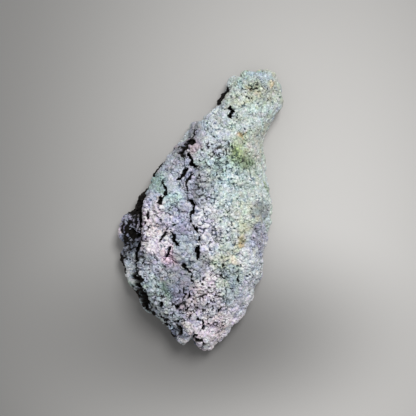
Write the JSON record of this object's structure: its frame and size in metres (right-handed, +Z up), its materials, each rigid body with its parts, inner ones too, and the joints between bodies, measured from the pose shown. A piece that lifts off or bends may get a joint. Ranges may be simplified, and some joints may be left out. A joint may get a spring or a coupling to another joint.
{
  "type": "grape agate cluster",
  "caption": "Pear-shaped botryoidal chalcedony mineral specimen with a grape-like mint and lilac crust, lying on a flat trimmed underside.",
  "frame": {"origin": "middle of the footprint, on the flat underside that the specimen lies on", "axes": "+Z up out of the crusted face, +Y along the specimen towards its round knob, +X towards the knob's side"},
  "size_m": [0.0898, 0.1514, 0.0405],
  "materials": {
    "chalcedony_crust": "sugary botryoidal crust, pale mint to lilac, with dark matrix in the cracks"
  },
  "bodies": {
    "root": {"grape_agate_cluster": "chalcedony_crust"}
  },
  "joints": []
}
